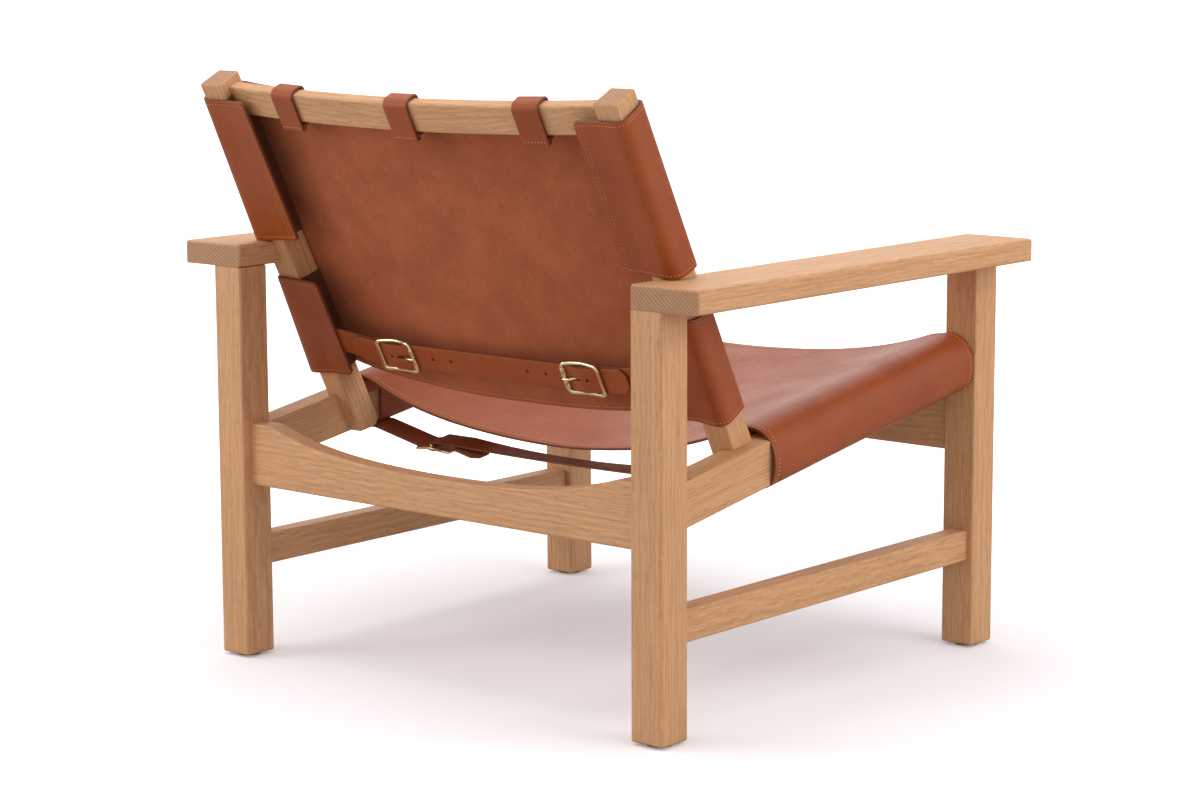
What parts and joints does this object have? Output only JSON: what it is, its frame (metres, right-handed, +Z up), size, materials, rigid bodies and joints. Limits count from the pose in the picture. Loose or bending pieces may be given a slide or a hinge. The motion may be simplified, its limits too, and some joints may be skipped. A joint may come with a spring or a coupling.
{
  "type": "sling lounge chair",
  "caption": "Low lounge chair: oak frame with flat arms, leather seat and back slings sleeved on rails and leaning posts, drawn tight by straps with brass buckles.",
  "frame": {"origin": "on the floor, under the middle of the overall box", "axes": "+Z up, -Y the way the sitter faces, +X the sitter's left"},
  "size_m": [0.8, 0.694, 0.7188],
  "materials": {
    "oak": "clear matt oil",
    "leather": "waxed saddle leather",
    "brass": "polished",
    "glide": "matt"
  },
  "bodies": {
    "chair": {"leg_front_left": "oak", "leg_front_right": "oak", "leg_rear_left": "oak", "leg_rear_right": "oak", "armrest_left": "oak", "armrest_right": "oak", "rear_rail": "oak", "front_rail": "oak", "seat_rail_left": "oak", "seat_rail_right": "oak", "stretcher_left": "oak", "stretcher_right": "oak", "back_post_left": "oak", "back_post_right": "oak", "back_top_rail": "oak", "foot_dowel_upper_left": "oak", "foot_dowel_upper_right": "oak", "foot_dowel_lower_left": "oak", "foot_dowel_lower_right": "oak", "arm_dowel_left": "oak", "arm_dowel_right": "oak", "glide_front_left": "glide", "glide_front_right": "glide", "glide_rear_left": "glide", "glide_rear_right": "glide", "seat_sling": "leather", "back_sling": "leather", "top_loop_left": "leather", "top_loop_middle": "leather", "top_loop_right": "leather", "back_strap_left": "leather", "back_strap_middle": "leather", "back_strap_right": "leather", "seat_strap_rear_left": "leather", "seat_strap_rear_middle": "leather", "seat_strap_rear_right": "leather", "seat_strap_front_left": "leather", "seat_strap_front_middle": "leather", "seat_strap_front_right": "leather", "back_buckle_frame_left": "brass", "back_buckle_frame_right": "brass", "seat_buckle_frame_rear_left": "brass", "seat_buckle_frame_rear_right": "brass", "seat_buckle_frame_front_left": "brass", "seat_buckle_frame_front_right": "brass"},
    "back_prong_left": {"back_buckle_prong_left": "brass"},
    "back_prong_right": {"back_buckle_prong_right": "brass"},
    "seat_prong_rear_left": {"seat_buckle_prong_rear_left": "brass"},
    "seat_prong_rear_right": {"seat_buckle_prong_rear_right": "brass"},
    "seat_prong_front_left": {"seat_buckle_prong_front_left": "brass"},
    "seat_prong_front_right": {"seat_buckle_prong_front_right": "brass"}
  },
  "joints": [
    {"name": "back_prong_left_hinge", "type": "hinge", "parent": "chair", "child": "back_prong_left", "pos_m": [0.164, 0.17358, 0.37623], "axis": [0, -0.454, -0.891], "range_deg": [0, 20]},
    {"name": "back_prong_right_hinge", "type": "hinge", "parent": "chair", "child": "back_prong_right", "pos_m": [-0.132, 0.17358, 0.37623], "axis": [0, 0.454, 0.891], "range_deg": [0, 20]},
    {"name": "seat_prong_rear_left_hinge", "type": "hinge", "parent": "chair", "child": "seat_prong_rear_left", "pos_m": [0.205, 0.05626, 0.24908], "axis": [0, 0.9868, -0.1621], "range_deg": [0, 20]},
    {"name": "seat_prong_rear_right_hinge", "type": "hinge", "parent": "chair", "child": "seat_prong_rear_right", "pos_m": [-0.205, 0.05626, 0.24908], "axis": [0, -0.9868, 0.1621], "range_deg": [0, 20]},
    {"name": "seat_prong_front_left_hinge", "type": "hinge", "parent": "chair", "child": "seat_prong_front_left", "pos_m": [0.205, -0.26166, 0.30131], "axis": [0, 0.9868, -0.1621], "range_deg": [0, 20]},
    {"name": "seat_prong_front_right_hinge", "type": "hinge", "parent": "chair", "child": "seat_prong_front_right", "pos_m": [-0.205, -0.26166, 0.30131], "axis": [0, -0.9868, 0.1621], "range_deg": [0, 20]}
  ]
}
